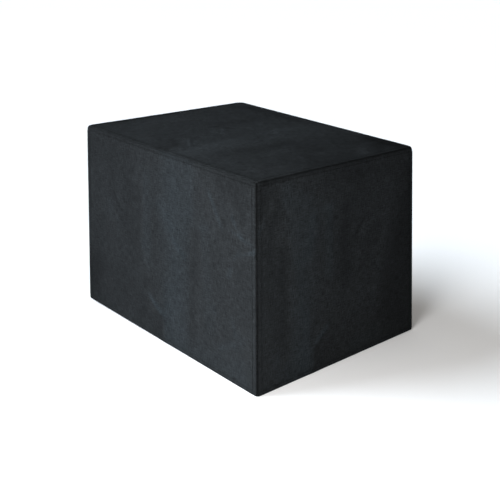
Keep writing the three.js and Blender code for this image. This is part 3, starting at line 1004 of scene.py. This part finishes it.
def cloth_material(name, colours):
    """Charcoal cloth: a plain weave and uneven threads from the cloth's own flat places, a soft mottle
    and grain from Object coordinates, and the painted light and shade of the folds, creases and
    seams from the attribute that carries them."""
    material, add, compute = empty_material(name)
    place = add("ShaderNodeTexCoord").outputs["Object"]
    flat = add("ShaderNodeUVMap", {"uv_map": "flat"}).outputs["UV"]
    lengths = add("ShaderNodeSeparateXYZ", i0=flat).outputs[:2]
    threads = [compute("MULTIPLY", length, 1 / colours.thread_pitch) for length in lengths]
    turns = [compute("MULTIPLY", thread, math.pi) for thread in threads]
    warp, weft = (compute("ABSOLUTE", compute("SINE", turn)) for turn in turns)
    cells = compute("ADD", *(compute("FLOOR", thread) for thread in threads))
    over = compute("FLOORED_MODULO", cells, 2)
    weave = add("ShaderNodeMix", i0=over, i2=weft, i3=warp).outputs[0]

    mottle = add_noise(add, place, MOTTLE_SCALE)
    grain = add_noise(add, place, GRAIN_SCALE)
    slubs = []
    for stretch in ((1 / SLUB_LENGTH, 1 / SLUB_WIDTH, 0), (1 / SLUB_WIDTH, 1 / SLUB_LENGTH, 0)):
        streaks = add("ShaderNodeVectorMath", {"operation": "MULTIPLY"}, i0=flat, i1=stretch)
        slubs.append(add_noise(add, streaks.outputs[0], 1, SLUB_DETAIL, SLUB_SHARPNESS))
    pattern = vary(compute, mottle, MOTTLE_DEPTH)
    for share in (
        vary(compute, grain, GRAIN_DEPTH),
        vary(compute, weave, WEAVE_DEPTH, middle=WEAVE_MIDDLE),
        vary(compute, compute("ADD", *slubs), SLUB_DEPTH, middle=1),
    ):
        pattern = compute("MULTIPLY", pattern, share)
    # The dye is multiplied by the painted light and shade of the folds, creases and seams
    tone = add("ShaderNodeAttribute", {"attribute_name": "tone"}).outputs["Vector"]
    dye = tuple(colours.cloth_colour)
    dye_times_painted_tone = add("ShaderNodeVectorMath", {"operation": "MULTIPLY"}, i0=tone, i1=dye).outputs[0]
    colour = add("ShaderNodeVectorMath", {"operation": "SCALE"}, i0=dye_times_painted_tone, Scale=pattern)
    roughness = vary(compute, grain, ROUGHNESS_DEPTH, level=CLOTH_ROUGHNESS)

    normal = add_bump(add, weave, *WEAVE_BUMP)
    normal = add_bump(add, grain, *GRAIN_BUMP, Normal=normal)
    normal = add_bump(add, mottle, *MOTTLE_BUMP, Normal=normal)
    add_surface(add, colour.outputs[0], roughness, colours.cloth_gloss, Normal=normal)
    return material


def thread_material(name, colours):
    """Dark sewing thread with a fine twist and a low shine."""
    material, add, compute = empty_material(name)
    place = add("ShaderNodeTexCoord").outputs["Object"]
    fibres = add_noise(add, place, FIBRE_SCALE)
    shade = vary(compute, fibres, FIBRE_DEPTH)
    dye = tuple(colours.thread_colour)
    colour = add("ShaderNodeVectorMath", {"operation": "SCALE"}, i0=dye, Scale=shade)
    normal = add_bump(add, fibres, *FIBRE_BUMP)
    add_surface(add, colour.outputs[0], THREAD_ROUGHNESS, THREAD_GLOSS, Normal=normal)
    return material


def floor_material(name, colours):
    """Even, pale, matt studio floor."""
    material, add, _ = empty_material(name)
    add_surface(add, (*colours.floor_colour, 1), FLOOR_ROUGHNESS, FLOOR_GLOSS)
    return material


def named_material(name, maker):
    """The material of that name, made the first time."""
    return bpy.data.materials.get(name) or maker(name, bpy.context.scene.cover_colours)


def sew_sheet(panel):
    """One cloth sheet in the place of its packed panel."""
    sizes = bpy.context.scene.cover_sizes
    points, faces, flat, tone = sheet_grid(panel, sizes)
    name = panel.node.replace("_panel", "_cloth")
    material = named_material("charcoal_cloth", cloth_material)
    piece = new_piece(name, points, faces.tolist(), material)
    mesh = piece.data
    corners = np.empty(len(mesh.loops), np.int32)
    mesh.loops.foreach_get("vertex_index", corners)
    layer = mesh.uv_layers.new(name="flat")
    layer.data.foreach_set("uv", flat[corners].astype(np.float32).ravel())
    # The painted light and shade of the folds, creases and seams goes onto the cloth as this attribute
    attribute = mesh.attributes.new("tone", "FLOAT_VECTOR", "POINT")
    attribute.data.foreach_set("vector", tone.astype(np.float32).ravel())
    solid = piece.modifiers.new("cloth_thickness", "SOLIDIFY")
    solid.thickness = sizes.cloth_thickness
    solid.offset = 0
    solid.use_quality_normals = True
    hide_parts(panel.node)
    width, length, area = cut_area(panel)
    held = "hung" if is_side(panel) else "draped"
    rests_on = ["top_panel"] if is_side(panel) else []


def length_field(name, description, default, low, high):
    """A length that a user can change. Its default and limits are given in millimetres."""
    return bpy.props.FloatProperty(
        name=name, description=description, default=default * MM, min=low * MM, max=high * MM,
        precision=5, unit="LENGTH",
    )


class CoverSizes(bpy.types.PropertyGroup):
    """Sizes of the cloth, its folds and its stitching."""

    cloth_thickness: length_field("Cloth thickness", "Thickness of one layer of cloth", 0.6, 0.2, 2)
    turn_radius: length_field(
        "Turn radius", "Radius at which the cloth is folded over at an edge", 0.5, 0.35, 2
    )
    fold_strength: bpy.props.FloatProperty(
        name="Fold strength", description="Share of the folds' and creases' full height",
        default=1, min=0, max=1.5, subtype="FACTOR",
    )
    ripple_rise: length_field("Ripple rise", "Height of the longest of the slight ripples", 0.45, 0, 3)
    pucker_rise: length_field(
        "Gather rise", "Height of the small gathers beside the stitches", 0.22, 0, 2
    )
    strip_rise: length_field("Strip rise", "How far the doubled strips stand proud", 0.8, 0, 2)
    strip_slope: length_field(
        "Strip slope", "Width over which a doubled strip falls back", 2.5, 0.5, 10
    )
    groove_depth: length_field("Groove depth", "How far the stitches draw the cloth in", 0.8, 0, 2)
    groove_reach: length_field(
        "Groove reach", "Half the width of the groove at the stitches", 1.8, 0.5, 6
    )
    stitch_length: length_field("Stitch length", "Length of one stitch", 3.2, 1, 8)
    stitch_gap: length_field("Stitch gap", "Gap between two stitches", 1, 0.2, 5)
    thread_thickness: length_field("Thread thickness", "Diameter of the sewing thread", 0.6, 0.2, 1.5)


class CoverColours(bpy.types.PropertyGroup):
    """Colours, gloss and weave."""

    cloth_colour: bpy.props.FloatVectorProperty(
        name="Cloth", description="Charcoal colour of the cloth",
        default=(0.0129, 0.0144, 0.0154), min=0, max=1, subtype="COLOR",
    )
    thread_colour: bpy.props.FloatVectorProperty(
        name="Thread", description="Colour of the sewing thread",
        default=(0.0074, 0.0078, 0.0084), min=0, max=1, subtype="COLOR",
    )
    floor_colour: bpy.props.FloatVectorProperty(
        name="Floor", description="Colour of the studio floor",
        default=(0.95, 0.95, 0.95), min=0, max=1, subtype="COLOR",
    )
    cloth_gloss: bpy.props.FloatProperty(
        name="Cloth gloss", description="Strength of the cloth's mirror part",
        default=0.05, min=0, max=1, subtype="FACTOR",
    )
    thread_pitch: length_field("Thread pitch", "Spacing of the threads in the weave", 1.3, 0.2, 5)


class CoverLights(bpy.types.PropertyGroup):
    """Strengths of the studio light."""

    backdrop: bpy.props.FloatProperty(
        name="Backdrop", description="Brightness of the pale backdrop, which lights nothing",
        default=1, min=0,
    )
    window: bpy.props.FloatProperty(
        name="Window", description="Strength of the soft light from the front left",
        default=5.4, min=0,
    )
    overhead: bpy.props.FloatProperty(
        name="Overhead", description="Strength of the soft light from above", default=1, min=0
    )
    lamp: bpy.props.FloatProperty(
        name="Lamp", description="Power of the soft lamp near the front right corner",
        default=21, min=0, unit="POWER",
    )


class COVER_OT_panels(bpy.types.Operator):
    """Sew the top and the four sides, each with its seams, and the sides' hem"""

    bl_idname = "cover.panels"
    bl_label = "Panels"
    bl_options = {"REGISTER", "UNDO"}

    def execute(self, context):
        for panel in PANELS:
            sew_sheet(panel)
        return {"FINISHED"}


class COVER_OT_stitches(bpy.types.Operator):
    """Add the rows of stitches along the seams and the hem"""

    bl_idname = "cover.stitches"
    bl_label = "Stitches"
    bl_options = {"REGISTER", "UNDO"}

    def execute(self, context):
        thread = named_material("dark_thread", thread_material)
        for panel in PANELS:
            points, faces = stitch_mesh(panel, context.scene.cover_sizes)
            new_piece(panel.node.replace("_panel", "_stitches"), points, faces, thread)
        return {"FINISHED"}


def add_floor():
    """A wide square just under the hem."""
    corner = FLOOR_SIZE / 2
    level = CAD_BOX[0][2] - FLOOR_DROP
    places = ((-corner, -corner), (corner, -corner), (corner, corner), (-corner, corner))
    mesh = bpy.data.meshes.new("floor")
    mesh.from_pydata([(x, y, level) for x, y in places], [], [(0, 1, 2, 3)])
    mesh.materials.append(named_material("studio_floor", floor_material))
    new_object("floor", mesh)


def add_backdrop(brightness):
    """An even, pale world that only the camera sees, so it adds no light."""
    world = bpy.data.worlds.new("backdrop")
    bpy.context.scene.world = world
    world.use_nodes = True
    background = world.node_tree.nodes["Background"]
    background.inputs["Color"].default_value = (1, 1, 1, 1)
    background.inputs["Strength"].default_value = brightness
    world.cycles_visibility.diffuse = False
    world.cycles_visibility.glossy = False


def add_sun(name, way, spread, tint, strength):
    """Soft light from far away."""
    data = bpy.data.lights.new(name, "SUN")
    data.energy = strength
    data.color = tint
    data.angle = math.radians(spread)
    turn, height = way
    new_object(name, data).rotation_euler = (math.radians(90 - height), 0, math.radians(turn + 90))


def add_lamp(name, place, aim, size, power):
    """A square soft lamp at a place, turned to face another. The camera doesn't see it."""
    data = bpy.data.lights.new(name, "AREA")
    data.energy = power
    data.size = size
    lamp = new_object(name, data)
    lamp.location = place
    lamp.rotation_euler = (Vector(aim) - Vector(place)).to_track_quat("-Z", "Y").to_euler()
    lamp.visible_camera = False


def add_camera():
    """A camera with a centred lens and no tilt sideways."""
    data = bpy.data.cameras.new("camera")
    data.sensor_width = SENSOR
    data.lens = CAMERA_FOCAL_SHARE * SENSOR
    camera = new_object("camera", data)
    camera.location = CAMERA_PLACE
    camera.rotation_euler = (math.radians(90 - CAMERA_PITCH), 0, math.radians(CAMERA_YAW - 90))
    bpy.context.scene.camera = camera


class COVER_OT_stage(bpy.types.Operator):
    """Set the floor, the soft studio light and the camera"""

    bl_idname = "cover.stage"
    bl_label = "Stage"
    bl_options = {"REGISTER", "UNDO"}

    def execute(self, context):
        scene = context.scene
        lights = scene.cover_lights
        add_floor()
        add_backdrop(lights.backdrop)
        for name, way, spread, tint in SUNS:
            add_sun(name, way, spread, tint, getattr(lights, name))
        add_lamp("lamp", LAMP_PLACE, LAMP_AIM, LAMP_SIZE, lights.lamp)
        add_camera()
        scene.view_settings.view_transform = "Standard"
        scene.view_settings.look = "None"
        return {"FINISHED"}


STEPS = ("panels", "stitches", "stage")
GROUPS = {"cover_sizes": CoverSizes, "cover_colours": CoverColours, "cover_lights": CoverLights}


class COVER_PT_sidebar(bpy.types.Panel):
    """Sizes, colours and steps of the cover"""

    bl_idname = "COVER_PT_sidebar"
    bl_label = "Armchair Cover"
    bl_space_type = "VIEW_3D"
    bl_region_type = "UI"
    bl_category = "Cover"

    def draw(self, context):
        for name in GROUPS:
            group = getattr(context.scene, name)
            column = self.layout.column(align=True)
            for field in group.__annotations__:
                column.prop(group, field)
        for step in STEPS:
            self.layout.operator(f"cover.{step}")


OPERATORS = (COVER_OT_panels, COVER_OT_stitches, COVER_OT_stage)
CLASSES = (*GROUPS.values(), *OPERATORS, COVER_PT_sidebar)


def register():
    for cls in CLASSES:
        bpy.utils.register_class(cls)
    for name, group in GROUPS.items():
        setattr(bpy.types.Scene, name, bpy.props.PointerProperty(type=group))


def unregister():
    for name in GROUPS:
        delattr(bpy.types.Scene, name)
    for cls in reversed(CLASSES):
        bpy.utils.unregister_class(cls)


def main():
    register()
    for step in STEPS:
        getattr(bpy.ops.cover, step)()


if __name__ == "__main__":
    main()
